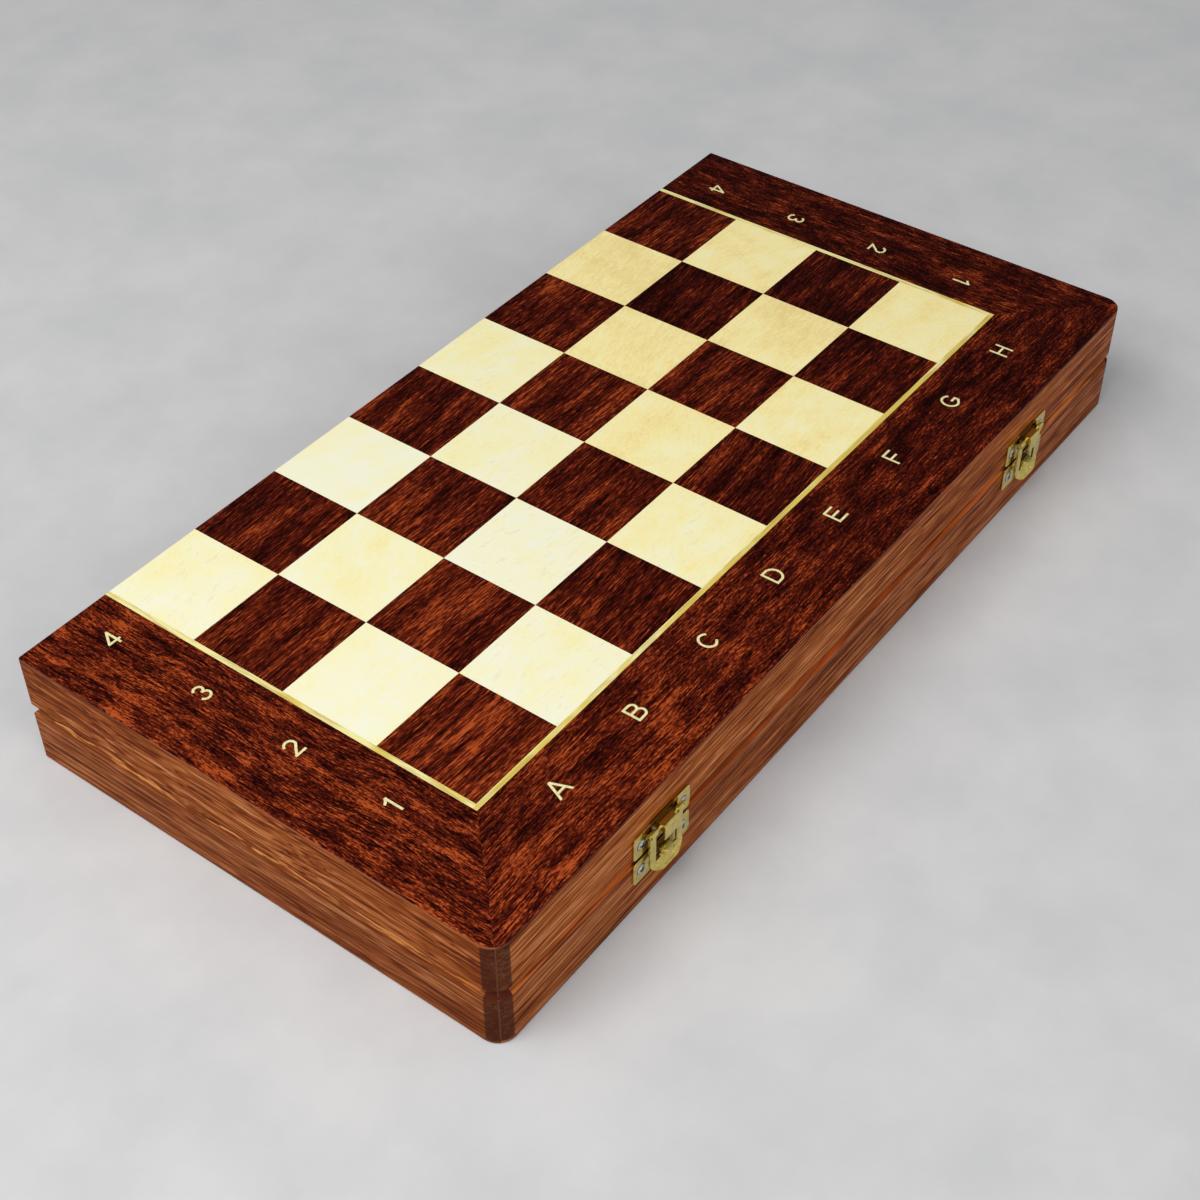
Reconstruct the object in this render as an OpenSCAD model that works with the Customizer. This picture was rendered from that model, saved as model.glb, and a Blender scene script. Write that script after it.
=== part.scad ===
// Folding chess case: two shallow wooden trays hinged along one long side and held shut by two
// brass latches. Shut, its upper face shows ranks 1 to 4 and its underside ranks 5 to 8; opened
// flat and turned over, the two faces make one whole board.
// Millimetres. The origin is the middle of the underside of the shut case. +X runs from file A
// to file H, +Y from the latches to the hinges, +Z up.

/* [Board] */
// Side of one square
square = 40; // [30:1:50]
// Number of files across the board
files = 8; // [6:1:10]
// Number of ranks on each half
half_ranks = 4; // [3:1:5]
// Width of the border beside the squares, with the pale line
border = 40; // [30:1:60]
// Width of the pale line round the squares
line_w = 2; // [1:0.5:4]
// Thickness of the veneered playing surface
veneer_t = 1.5; // [1:0.1:2]
// Hairline left between neighbouring tiles
tile_joint = 0.04; // [0.02:0.02:0.2]

/* [Case] */
// Height of one half of the case
half_h = 23.7; // [21:0.1:40]
// Thickness of the rails
wall = 12; // [11:0.5:18]
// Radius of the two upright front corners
corner_r = 7; // [3:0.5:10]
// Bevel along the outer edges that meet when the case is shut
rim_bevel = 2; // [0.5:0.25:2.5]
// Break along the inner edge of the rim
inner_break = 0.6; // [0.2:0.1:1]
// Break along the outer edge of the playing surface
edge_break = 0.5; // [0.2:0.1:0.8]
// Gap between the two halves when shut
seam_gap = 0.2; // [0.1:0.05:0.4]
// Thickness of the panel under the playing surface
panel_t = 3; // [2:0.5:5]
// How far the panel is let into the rails
panel_seat = 6; // [3:0.5:8]
// Thickness of the felt lining
lining_t = 0.8; // [0.5:0.1:1.5]
// Space left between the lining and the rails
lining_gap = 0.4; // [0.2:0.1:1]

/* [Latch] */
// Distance from each end of the case to the middle of a latch
latch_inset = 80; // [50:1:100]
// Length of the latch plates
plate_w = 30; // [28:0.5:40]
// Height of the latch plates
plate_h = 10; // [9.5:0.5:11]
// Thickness of the latch plates
plate_t = 0.8; // [0.6:0.1:1]
// Radius of the corners of the latch plates
plate_r = 1.6; // [0.5:0.1:3]
// Distance from the seam to the edge of each latch plate
plate_edge = 0.8; // [0.5:0.1:1.2]
// Distance from the middle of a plate to each of its screws
plate_screw = 11; // [10.5:0.1:12.5]
// Width of the keeper's tongue
tongue_w = 6.6; // [5:0.1:7.4]
// How far the tongue stands out from the wood
tongue_out = 4.4; // [3.8:0.1:6]
// Height of the hanging face of the tongue
tongue_drop = 6.2; // [5:0.1:8.4]
// Distance from the keeper's top edge down to the tongue
tongue_top = 1.5; // [1.2:0.1:2]
// Radius of the tongue's outer bend
tongue_bend = 0.9; // [0.9:0.1:1.6]
// Overall width of the lever
lever_w = 17.4; // [16:0.2:19]
// Thickness of the lever's sheet
lever_t = 0.7; // [0.5:0.1:0.9]
// Length of the lever from its pivot to its lower edge
lever_len = 18.1; // [17:0.1:20]
// Height of the rounded lower end of the lever
lever_round = 4.5; // [3.5:0.5:6]
// Radius of the lever's rolled ears
ear_r = 1.15; // [1.05:0.05:1.3]
// Radius of the lever's pivot pin
latch_pin_r = 0.6; // [0.4:0.05:0.7]
// Width of the window between the lever's arms
window_w = 11.2; // [8:0.1:11.4]
// How far the catch's nose stands out from the wood
nose_out = 4.6; // [4:0.1:5.4]
// Width of the catch's nose
nose_w = 5.2; // [4:0.1:6]
// Height of the nose where it leaves its plate
nose_h = 2.6; // [2:0.05:3]
// Distance from the catch plate's upper edge down to the nose
nose_down = 2.1; // [0:0.1:2.4]
// How far the lever's scoop hangs under the nose
scoop_gap = 0.4; // [0.3:0.05:0.8]
// Height of the curved scoop of the lever
scoop_h = 3.4; // [2:0.1:4]
// Gap between latch pieces that move past each other
latch_gap = 0.3; // [0.3:0.05:0.4]

/* [Hinges] */
// Distance from each end of the case to the middle of a hinge
hinge_inset = 80; // [50:1:100]
// Length of one hinge
hinge_len = 40; // [30:1:60]
// Number of knuckles in one hinge
knuckles = 5; // [3:2:7]
// Radius of the knuckles
knuckle_r = 2; // [1.8:0.1:2.5]
// Radius of the hinge pin
hinge_pin_r = 1; // [0.8:0.05:1.2]
// Width of a leaf from the pin's axis
leaf_w = 10.2; // [9.5:0.1:10.8]
// Thickness of a leaf
leaf_t = 1; // [0.8:0.1:1.4]
// How far the hinge axis stands behind the back face
axis_out = 0.15; // [0.1:0.05:0.4]
// Gap between the hinge's moving parts, and round its barrel
hinge_gap = 0.3; // [0.3:0.05:0.5]
// Distance from the middle of a hinge to its outer screws
hinge_screw = 13; // [9:0.5:13]

/* [Screws] */
// Radius of the latch screws' heads
head_r = 2.2; // [1.8:0.1:2.4]
// Height of the domed top of a latch screw's head
head_dome = 0.6; // [0.3:0.1:0.8]
// Radius of the latch screws' shanks
shank_r = 1; // [0.8:0.1:1.3]
// Length of the screws under their heads
screw_len = 9; // [6:0.5:9.5]
// Radius of the hinge screws' heads
hinge_head_r = 1.9; // [1.6:0.1:2.2]
// Radial clearance of pins and screws in their holes
fit = 0.05; // [0.02:0.01:0.08]

/* [Hidden] */
$fn = 48;

eps = 0.01;                 // overshoot of a cut past the face it opens
over = 1;                   // overshoot of a cut that ends in the open
half_x = files * square / 2 + border;
half_y = (half_ranks * square + border) / 2;
grid_x = files * square / 2;
grid_front = border - half_y;
strip_w = border - line_w;  // width of the border veneers
panel_top = veneer_t + panel_t;
rim_z = half_h - seam_gap / 2;
latch_x = half_x - latch_inset;
hinge_x = half_x - hinge_inset;

// Places on a latch, measured from the wood (out) and from the seam (up)
plate_mid = plate_edge + plate_h / 2;
shelf_up = plate_edge + plate_h - tongue_top;
pin_under_shelf = 0.1;      // space between the tongue's shelf and the pin under it
pivot_up = shelf_up - plate_t - pin_under_shelf - latch_pin_r;
pivot_out = plate_t + latch_gap + ear_r;
ear_in = window_w / 2;
scoop_w = nose_w + 2 * latch_gap;
sheet_in = pivot_out - lever_t / 2;
nose_up = -plate_edge - nose_down;
nose_sweep = pivot_up - nose_up + nose_h;                      // the nose keeps inside this radius
scoop_in = plate_t + latch_gap;
scoop_up = pivot_up - sqrt(pow(nose_sweep + scoop_gap, 2) - pow(pivot_out - scoop_in, 2));
lip_r = 7.5;                                                   // bend of the lever's thumb lip
lip_turn = 42;                                                 // angle that the lip turns through
lip_drop = (lip_r + lever_t) * sin(lip_turn);
lip_up = pivot_up - lever_len + lip_drop;
scoop_rim = 1;                                                 // metal left below the scoop
scoop_low = max(scoop_up - scoop_h, pivot_up - lever_len + scoop_rim);
pin_head_under = 0.25;                                         // the pin's heads are smaller than the ears
pin_head_r = ear_r - pin_head_under;
pin_head_t = 0.5;
latch_reach = 2 * lever_len;                                   // further out than any piece of a latch

// Points along an arc about (cx, cy)
function arc(cx, cy, r, from, to, steps) =
    [for (i = [0:steps]) let (a = from + (to - from) * i / steps) [cx + r * cos(a), cy + r * sin(a)]];
function smooth(t) = t * t * (3 - 2 * t);

// ---- Bars that run round a tray, drawn with the playing face at z = 0 ----

// A bar along the front, its section given as [distance from the outer face, height]
module front_bar(section)
    translate([-half_x, -half_y, 0]) rotate([90, 0, 90]) linear_extrude(2 * half_x) polygon(section);

// The same kind of bar along the left side
module left_bar(section)
    translate([-half_x, half_y, 0]) rotate([90, 0, 0]) linear_extrude(2 * half_y) polygon(section);

// Keeps the part of a bar that lies over a plan outline
module within(plan) intersection() {
    children();
    translate([0, 0, -eps]) linear_extrude(half_h) polygon(plan);
}

function front_plan(w) = [
    [-half_x, -half_y], [half_x, -half_y], [half_x - w, w - half_y], [w - half_x, w - half_y],
];
function left_plan(w, back) = [
    [-half_x, -half_y], [w - half_x, w - half_y], [w - half_x, half_y - back], [-half_x, half_y],
];

// What is taken off the front left corner to round it, from z = low to z = high, with the same
// bevels at the two ends as the straight edges have
module corner_waste(low, high, low_bevel, high_bevel) {
    reach = corner_r + over;
    difference() {
        translate([-half_x - over, -half_y - over, low - over])
            cube([reach, reach, high - low + 2 * over]);
        translate([corner_r - half_x, corner_r - half_y, 0]) {
            translate([0, 0, low + low_bevel])
                cylinder(r = corner_r, h = high - low - low_bevel - high_bevel);
            if (low_bevel > 0) translate([0, 0, low])
                cylinder(r1 = corner_r - low_bevel, r2 = corner_r, h = low_bevel);
            if (high_bevel > 0) translate([0, 0, high - high_bevel])
                cylinder(r1 = corner_r, r2 = corner_r - high_bevel, h = high_bevel);
        }
    }
}

// ---- One tray, playing face down ----

rail_section = [
    [0, veneer_t], [wall - panel_seat, veneer_t], [wall - panel_seat, panel_top], [wall, panel_top],
    [wall, rim_z - inner_break], [wall - inner_break, rim_z], [rim_bevel, rim_z], [0, rim_z - rim_bevel],
];
border_section = [[edge_break, 0], [strip_w, 0], [strip_w, veneer_t], [0, veneer_t], [0, edge_break]];

module rail_corner() corner_waste(veneer_t, rim_z, 0, rim_bevel);
module border_corner() corner_waste(0, veneer_t, edge_break, 0);

// Holes in the front rail for the screws of both latches
module latch_screw_holes()
    for (side = [-1, 1], end = [-1, 1])
        translate([side * latch_x + end * plate_screw, -half_y - eps, half_h - plate_mid])
            rotate([-90, 0, 0]) cylinder(r = shank_r + fit, h = screw_len + 2 * fit + eps);

module front_rail() difference() {
    within(front_plan(wall)) front_bar(rail_section);
    rail_corner();
    mirror([1, 0, 0]) rail_corner();
    latch_screw_holes();
}

// Seats in the back rail for both hinges: a shallow bed for the leaf, a hollow round the barrel
// and the screw holes
module hinge_seats()
    for (side = [-1, 1]) translate([side * hinge_x, half_y + axis_out, half_h]) {
        translate([-hinge_len / 2, -leaf_w, -seam_gap / 2 - leaf_t])
            cube([hinge_len, leaf_w, leaf_t + over]);
        translate([-hinge_len / 2 - hinge_gap, 0, 0]) rotate([0, 90, 0])
            cylinder(r = knuckle_r + hinge_gap, h = hinge_len + 2 * hinge_gap);
        hinge_screw_places() translate([0, 0, -screw_len - 2 * fit])
            cylinder(r = shank_r + fit, h = screw_len + 2 * fit + eps);
    }

module back_rail() difference() {
    mirror([0, 1, 0]) within(front_plan(wall)) front_bar(rail_section);
    hinge_seats();
}

module left_rail() difference() {
    within(left_plan(wall, wall)) left_bar(rail_section);
    rail_corner();
}

module panel()
    translate([0, 0, veneer_t + panel_t / 2])
        cube([2 * (half_x - wall + panel_seat), 2 * (half_y - wall + panel_seat), panel_t], center = true);

module lining()
    translate([0, 0, panel_top + lining_t / 2])
        cube([2 * (half_x - wall - lining_gap), 2 * (half_y - wall - lining_gap), lining_t], center = true);

// Every second square, starting at the front left corner when first is 0
module squares(first)
    for (i = [0:files - 1], j = [0:half_ranks - 1]) if ((i + j) % 2 == first)
        translate([i * square - grid_x + tile_joint / 2, j * square + grid_front + tile_joint / 2, 0])
            cube([square - tile_joint, square - tile_joint, veneer_t]);

module stringing()
    linear_extrude(veneer_t) polygon([
        [-grid_x - line_w, half_y], [-grid_x - line_w, grid_front - line_w],
        [grid_x + line_w, grid_front - line_w], [grid_x + line_w, half_y],
        [grid_x, half_y], [grid_x, grid_front], [-grid_x, grid_front], [-grid_x, half_y],
    ]);

module front_border() difference() {
    within(front_plan(strip_w)) front_bar(border_section);
    border_corner();
    mirror([1, 0, 0]) border_corner();
}

module left_border() difference() {
    within(left_plan(strip_w, 0)) left_bar(border_section);
    border_corner();
}

module right() mirror([1, 0, 0]) children();
// Turns a piece of the lower tray into the same piece of the upper one
module upper() translate([0, 0, 2 * half_h]) mirror([0, 0, 1]) children();

// ---- Screws ----

cross_span = 1.15;          // length of the cross recess, in radii of the head
cross_w = 0.24;             // width of the cross recess, in radii of the head
cross_depth = 0.6;          // depth of the cross recess
cross_turns = [-15, 55];    // where the two screws of a latch plate stopped turning
tip_h = 1;                  // height of a screw's pointed tip

// A countersunk screw whose head's rim lies at z = 0, with a cross recess
module screw(rim_r, sink, dome) difference() {
    root_r = max(rim_r - sink, shank_r);
    dome_r = (rim_r * rim_r + dome * dome) / (2 * max(dome, eps));
    top = dome > 0 ? arc(0, dome - dome_r, dome_r, acos(rim_r / dome_r), 90, 8) : [[rim_r, 0], [0, 0]];
    rotate_extrude() polygon(concat(
        [[0, -sink - screw_len], [shank_r, tip_h - sink - screw_len], [shank_r, -sink], [root_r, -sink]],
        top));
    for (turn = [0, 90]) translate([0, 0, dome]) rotate([0, 0, turn])
        cube([rim_r * cross_span, rim_r * cross_w, 2 * cross_depth], center = true);
}

// The hole in a plate that such a head lies in
module sink_hole(rim_r, sink) translate([0, 0, -sink - eps])
    cylinder(r1 = max(rim_r - sink, shank_r) + fit - eps, r2 = rim_r + fit, h = sink + eps);

// ---- Latch, drawn about the point of the seam behind it; out is -Y ----

module latches(side) translate([side * latch_x, -half_y, half_h]) children();

// A section given as [out, up] carried across the latch
module across(width)
    mirror([0, 1, 0]) translate([-width / 2, 0, 0]) rotate([90, 0, 90]) linear_extrude(width) children();

// A point of the latch's pivot axis
module at_pivot() translate([0, -pivot_out, pivot_up]) children();
module cross_rod(r, from, to) translate([from, 0, 0]) rotate([0, 90, 0]) cylinder(r = r, h = to - from);

module latch_plate() difference() {
    rotate([90, 0, 0]) linear_extrude(plate_t) {
        square([plate_w - 2 * plate_r, plate_h], center = true);
        square([plate_w, plate_h - 2 * plate_r], center = true);
        for (x = [-1, 1], y = [-1, 1])
            translate([x * (plate_w / 2 - plate_r), y * (plate_h / 2 - plate_r)]) circle(plate_r);
    }
    for (end = [-1, 1]) translate([end * plate_screw, -plate_t, 0]) rotate([90, 0, 0])
        sink_hole(head_r, plate_t);
}

module plate_screws(up)
    for (end = [0, 1]) translate([(2 * end - 1) * plate_screw, -plate_t, up]) rotate([90, 0, 0])
        rotate([0, 0, cross_turns[end]]) screw(head_r, plate_t, head_dome);

// The tongue: a strip that comes out of the plate and turns down
module tongue() across(tongue_w) polygon(concat(
    [[0, shelf_up - plate_t], [0, shelf_up]],
    arc(tongue_out - tongue_bend, shelf_up - tongue_bend, tongue_bend, 90, 0, 6),
    [[tongue_out, shelf_up - tongue_drop], [tongue_out - plate_t, shelf_up - tongue_drop]],
    arc(tongue_out - tongue_bend, shelf_up - tongue_bend, tongue_bend - plate_t, 0, 90, 6)));

// A cheek that closes one side of the tongue and carries the lever's pin
cheek_rim = 0.65;           // metal below the pin's hole
module cheek() translate([tongue_w / 2 - plate_t, 0, 0]) mirror([0, 1, 0]) rotate([90, 0, 90])
    linear_extrude(plate_t) polygon([
        [0, shelf_up - plate_t / 2], [0, pivot_up - cheek_rim - latch_pin_r],
        [tongue_out - plate_t / 2, pivot_up - cheek_rim - latch_pin_r],
        [tongue_out - plate_t / 2, shelf_up - tongue_bend],
        [tongue_out - tongue_bend, shelf_up - plate_t / 2]]);

// Slot in the plate behind an ear
slot_w = 2.4;
slot_over = 0.2;            // how far the slot runs above the tongue's shelf
module ear_slot() translate([ear_in, -plate_t - eps, pivot_up - ear_r])
    cube([slot_w, plate_t + 2 * eps, shelf_up + slot_over - pivot_up + ear_r]);

module keeper_plate() difference() {
    union() {
        translate([0, 0, plate_mid]) latch_plate();
        tongue();
        cheek();
        mirror([1, 0, 0]) cheek();
    }
    ear_slot();
    mirror([1, 0, 0]) ear_slot();
    at_pivot() cross_rod(latch_pin_r + fit, -ear_in, ear_in);
}

module latch_pin() at_pivot() {
    end = lever_w / 2 + latch_gap;
    cross_rod(latch_pin_r, -end - eps, end + eps);
    cross_rod(pin_head_r, end, end + pin_head_t);
    cross_rod(pin_head_r, -end - pin_head_t, -end);
}

// Outline of the lever's sheet seen from the front
module lever_outline() polygon(concat(
    [[lever_w / 2, pivot_up], [-lever_w / 2, pivot_up]],
    [for (a = [180:7.5:360]) [lever_w / 2 * cos(a), pivot_up - lever_len + lever_round * (1 + sin(a))]]));

// Section of the sheet: straight down, then turned out into a thumb lip
module lever_sheet() across(lever_w) polygon(concat(
    [[sheet_in, pivot_up], [sheet_in + lever_t, pivot_up]],
    arc(sheet_in + lever_t + lip_r, lip_up, lip_r, 180, 180 + lip_turn, 8),
    arc(sheet_in + lever_t + lip_r, lip_up, lip_r + lever_t, 180 + lip_turn, 180, 8)));

// Distance from the wood to a face of the sheet that bends out with radius r below lip_up
function bent(from, r, up) = from + (up < lip_up ? r - sqrt(r * r - pow(lip_up - up, 2)) : 0);

// The pressed hollow in the middle of the lever, whose upper edge holds under the catch's nose
scoop_steps = 10;
scoop_ups = [for (i = [0:scoop_steps]) scoop_up + (scoop_low - scoop_up) * i / scoop_steps];
scoop_side = [for (i = [0:scoop_steps]) [scoop_in + smooth(i / scoop_steps)
    * (bent(sheet_in, lip_r + lever_t, scoop_ups[i]) - scoop_in), scoop_ups[i]]];
module scoop() {
    across(scoop_w + lever_t) polygon(concat(scoop_side,
        [for (i = [scoop_steps:-1:0]) scoop_side[i] + [lever_t, 0]]));
    for (side = [-1, 1]) translate([side * (scoop_w + lever_t) / 2, 0, 0]) across(lever_t)
        polygon(concat(scoop_side, [for (i = [scoop_steps:-1:0])
            [bent(sheet_in + lever_t, lip_r, scoop_ups[i]), scoop_ups[i]]]));
}

module latch_lever() difference() {
    union() {
        difference() {
            intersection() {
                lever_sheet();
                rotate([90, 0, 0]) linear_extrude(latch_reach) lever_outline();
            }
            translate([-window_w / 2, -latch_reach, scoop_up]) cube([window_w, latch_reach, lever_len]);
            translate([-scoop_w / 2, -latch_reach, scoop_low])
                cube([scoop_w, latch_reach, lever_len]);
        }
        scoop();
        at_pivot() {
            cross_rod(ear_r, ear_in, lever_w / 2);
            cross_rod(ear_r, -lever_w / 2, -ear_in);
        }
    }
    at_pivot() cross_rod(latch_pin_r + fit, -lever_w, lever_w);
}

// Hook on the lower plate, rounded in plan and on top; its underside follows the lever's swing
nose_top_r = 1.4 * nose_out;    // radius of the rounding along the nose's top
nose_top_out = 1.2;             // where that rounding starts, from the wood
module nose() intersection() {
    translate([0, 0, nose_up - nose_h - over]) linear_extrude(nose_h + over) {
        translate([-nose_w / 2, nose_w / 2 - nose_out]) square([nose_w, nose_out - nose_w / 2]);
        translate([0, nose_w / 2 - nose_out]) circle(nose_w / 2);
    }
    translate([-nose_w, -2 * nose_out, -2 * nose_out]) cube([2 * nose_w, 2 * nose_out, 2 * nose_out]);
    at_pivot() cross_rod(nose_sweep, -nose_w, nose_w);
    translate([0, -nose_top_out, nose_up - nose_top_r]) cross_rod(nose_top_r, -nose_w, nose_w);
}

module catch_plate() {
    translate([0, 0, -plate_mid]) latch_plate();
    nose();
}

// ---- Hinge, drawn about the middle of its axis, the lower leaf towards -Y ----

module hinges(side) translate([side * hinge_x, half_y + axis_out, half_h]) children();

// Puts something at each screw of a leaf, on the leaf's bed
module hinge_screw_places() for (x = [-hinge_screw, 0, hinge_screw])
    translate([x, -(leaf_w + knuckle_r) / 2, -seam_gap / 2 - leaf_t]) children();

// A leaf with every second knuckle, starting with the end one when first is 0
module hinge_leaf(first) {
    pitch = hinge_len / knuckles;
    reach = leaf_w - knuckle_r - hinge_gap;
    difference() {
        union() {
            translate([-hinge_len / 2, -leaf_w, -seam_gap / 2 - leaf_t])
                cube([hinge_len, reach, leaf_t]);
            for (i = [first:2:knuckles - 1])
                translate([i * pitch - hinge_len / 2 + hinge_gap / 2, 0, 0]) {
                    cross_rod(knuckle_r, 0, pitch - hinge_gap);
                    translate([0, -leaf_w + reach - eps, -seam_gap / 2 - leaf_t])
                        cube([pitch - hinge_gap, knuckle_r + hinge_gap + eps, leaf_t]);
                }
        }
        cross_rod(hinge_pin_r + fit, -hinge_len, hinge_len);
        hinge_screw_places() translate([0, 0, leaf_t]) sink_hole(hinge_head_r, leaf_t);
    }
}

module hinge_pin() cross_rod(hinge_pin_r, -hinge_len / 2, hinge_len / 2);

module hinge_screws() for (side = [-1, 1]) hinges(side)
    hinge_screw_places() translate([0, 0, leaf_t]) screw(hinge_head_r, leaf_t, 0);

// ---- Nodes ----

side_wood = "#8a4f2c";
dark_wood = "#4a1a12";
pale_wood = "#e9dfae";
ply_wood = "#c9a878";
felt = "#1f5a3a";
brass = "#cdb55a";
steel = "#c8ccc8";

module base_front_rail() color(side_wood) front_rail();
module base_back_rail() color(side_wood) back_rail();
module base_left_rail() color(side_wood) left_rail();
module base_right_rail() color(side_wood) right() left_rail();
module base_panel() color(ply_wood) panel();
module base_dark_squares() color(dark_wood) squares(1);
module base_pale_squares() color(pale_wood) squares(0);
module base_stringing() color(pale_wood) stringing();
module base_front_border() color(dark_wood) front_border();
module base_left_border() color(dark_wood) left_border();
module base_right_border() color(dark_wood) right() left_border();
module base_lining() color(felt) lining();

module lid_front_rail() color(side_wood) upper() front_rail();
module lid_back_rail() color(side_wood) upper() back_rail();
module lid_left_rail() color(side_wood) upper() left_rail();
module lid_right_rail() color(side_wood) upper() right() left_rail();
module lid_panel() color(ply_wood) upper() panel();
module lid_dark_squares() color(dark_wood) upper() squares(0);
module lid_pale_squares() color(pale_wood) upper() squares(1);
module lid_stringing() color(pale_wood) upper() stringing();
module lid_front_border() color(dark_wood) upper() front_border();
module lid_left_border() color(dark_wood) upper() left_border();
module lid_right_border() color(dark_wood) upper() right() left_border();
module lid_lining() color(felt) upper() lining();

module left_catch_plate() color(brass) latches(-1) catch_plate();
module right_catch_plate() color(brass) latches(1) catch_plate();
module left_catch_screws() color(steel) latches(-1) plate_screws(-plate_mid);
module right_catch_screws() color(steel) latches(1) plate_screws(-plate_mid);
module left_keeper_plate() color(brass) latches(-1) keeper_plate();
module right_keeper_plate() color(brass) latches(1) keeper_plate();
module left_keeper_screws() color(steel) latches(-1) plate_screws(plate_mid);
module right_keeper_screws() color(steel) latches(1) plate_screws(plate_mid);
module left_latch_lever() color(brass) latches(-1) latch_lever();
module right_latch_lever() color(brass) latches(1) latch_lever();
module left_latch_pin() color(brass) latches(-1) latch_pin();
module right_latch_pin() color(brass) latches(1) latch_pin();

module left_hinge_base_leaf() color(brass) hinges(-1) hinge_leaf(0);
module right_hinge_base_leaf() color(brass) hinges(1) hinge_leaf(0);
module left_hinge_lid_leaf() color(brass) hinges(-1) mirror([0, 0, 1]) hinge_leaf(1);
module right_hinge_lid_leaf() color(brass) hinges(1) mirror([0, 0, 1]) hinge_leaf(1);
module left_hinge_pin() color(steel) hinges(-1) hinge_pin();
module right_hinge_pin() color(steel) hinges(1) hinge_pin();
module base_hinge_screws() color(brass) hinge_screws();
module lid_hinge_screws() color(brass) upper() hinge_screws();

base_front_rail();
base_back_rail();
base_left_rail();
base_right_rail();
base_panel();
base_dark_squares();
base_pale_squares();
base_stringing();
base_front_border();
base_left_border();
base_right_border();
base_lining();
lid_front_rail();
lid_back_rail();
lid_left_rail();
lid_right_rail();
lid_panel();
lid_dark_squares();
lid_pale_squares();
lid_stringing();
lid_front_border();
lid_left_border();
lid_right_border();
lid_lining();
left_catch_plate();
right_catch_plate();
left_catch_screws();
right_catch_screws();
left_keeper_plate();
right_keeper_plate();
left_keeper_screws();
right_keeper_screws();
left_latch_lever();
right_latch_lever();
left_latch_pin();
right_latch_pin();
left_hinge_base_leaf();
right_hinge_base_leaf();
left_hinge_lid_leaf();
right_hinge_lid_leaf();
left_hinge_pin();
right_hinge_pin();
base_hinge_screws();
lid_hinge_screws();
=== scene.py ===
import math
import bmesh
import bpy
from mathutils import Matrix, Quaternion, Vector


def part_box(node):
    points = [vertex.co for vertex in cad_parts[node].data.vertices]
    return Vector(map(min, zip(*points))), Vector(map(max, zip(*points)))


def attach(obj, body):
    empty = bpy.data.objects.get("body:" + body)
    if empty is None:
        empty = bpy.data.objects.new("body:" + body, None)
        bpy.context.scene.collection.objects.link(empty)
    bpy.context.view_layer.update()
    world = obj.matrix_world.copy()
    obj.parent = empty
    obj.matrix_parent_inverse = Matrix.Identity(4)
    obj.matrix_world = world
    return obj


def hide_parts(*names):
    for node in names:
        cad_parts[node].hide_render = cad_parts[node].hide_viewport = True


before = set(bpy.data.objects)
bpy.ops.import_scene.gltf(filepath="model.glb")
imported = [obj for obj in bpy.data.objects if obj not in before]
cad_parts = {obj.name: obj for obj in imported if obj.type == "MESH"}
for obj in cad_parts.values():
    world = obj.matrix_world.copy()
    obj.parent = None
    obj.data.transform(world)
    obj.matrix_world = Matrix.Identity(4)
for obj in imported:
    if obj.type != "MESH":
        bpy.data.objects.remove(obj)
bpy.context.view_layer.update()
mm = 0.001
halves = ("base", "lid")
sides = ("left", "right")
railLow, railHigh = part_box("base_front_rail")
caseSize = {             # the shut case's wood, in millimetres
    "halfLength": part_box("base_right_rail")[1].x / mm,
    "halfDepth": -railLow.y / mm,
    "seam": (railHigh.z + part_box("lid_front_rail")[0].z) / 2 / mm,
}
board = {                # the field of squares, in millimetres
    "square": 40.0,
    "left": -160.0,
    "front": -60.0,
    "veneerJump": (900.0, 700.0, 500.0),     # how far apart in the tree two squares may come from
}
print("frame loaded:", len(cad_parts), "nodes")

cameraSetup = {
    "place": (-449.65, -325.46, 492.06),     # millimetres
    "aim": (-44.67, -20.44, 23.65),
    "roll": -0.377,                          # degrees
    "lens": 58.6,
    "sensor": 36.0,
}


def aimAt(place, target):
    return (Vector(target) - Vector(place)).to_track_quat("-Z", "Y")


def addCamera(setup):
    data = bpy.data.cameras.new("camera")
    data.lens = setup["lens"]
    data.sensor_width = setup["sensor"]
    camera = bpy.data.objects.new("camera", data)
    bpy.context.scene.collection.objects.link(camera)
    camera.rotation_mode = "QUATERNION"
    camera.location = Vector(setup["place"]) * mm
    roll = Quaternion((0, 0, 1), math.radians(setup["roll"]))
    camera.rotation_quaternion = aimAt(setup["place"], setup["aim"]) @ roll
    bpy.context.scene.camera = camera


lamps = {                # in metres
    "window": {"place": (-0.72, 0.12, 1.05), "size": 0.9, "watts": 11.5, "colour": (1.0, 0.99, 0.97)},
    "front": {"place": (-0.6, -1.9, 1.0), "size": 1.5, "watts": 14.0, "colour": (1.0, 0.99, 0.98)},
}
skySetup = {
    "bright": (0.56, 0.565, 0.57, 1.0),
    "dim": (0.13, 0.13, 0.135, 1.0),
    "dimSide": (0.63, 0.46, 0.62),      # the unlit end of the room
    "from": 0.45,                       # cosines of the angles between which the room gets dim
    "to": 0.93,
}
floorSetup = {
    "reach": 6.0,        # metres
    "cells": 8,
    "under": 0.05,       # millimetres below the case, so that no two faces coincide
    "stops": [(0.35, (0.54, 0.545, 0.555)), (0.65, (0.60, 0.60, 0.605))],
    "patches": (0.02, 4.0, 0.6),
    "roughness": 0.85,
    "specular": 0.2,
}


def addLamps():
    for name, lamp in lamps.items():
        data = bpy.data.lights.new(name, "AREA")
        data.size = lamp["size"]
        data.energy = lamp["watts"]
        data.color = lamp["colour"]
        made = bpy.data.objects.new(name, data)
        made.location = lamp["place"]
        made.rotation_mode = "QUATERNION"
        made.rotation_quaternion = aimAt(lamp["place"], (0, 0, 0))
        bpy.context.scene.collection.objects.link(made)


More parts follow.
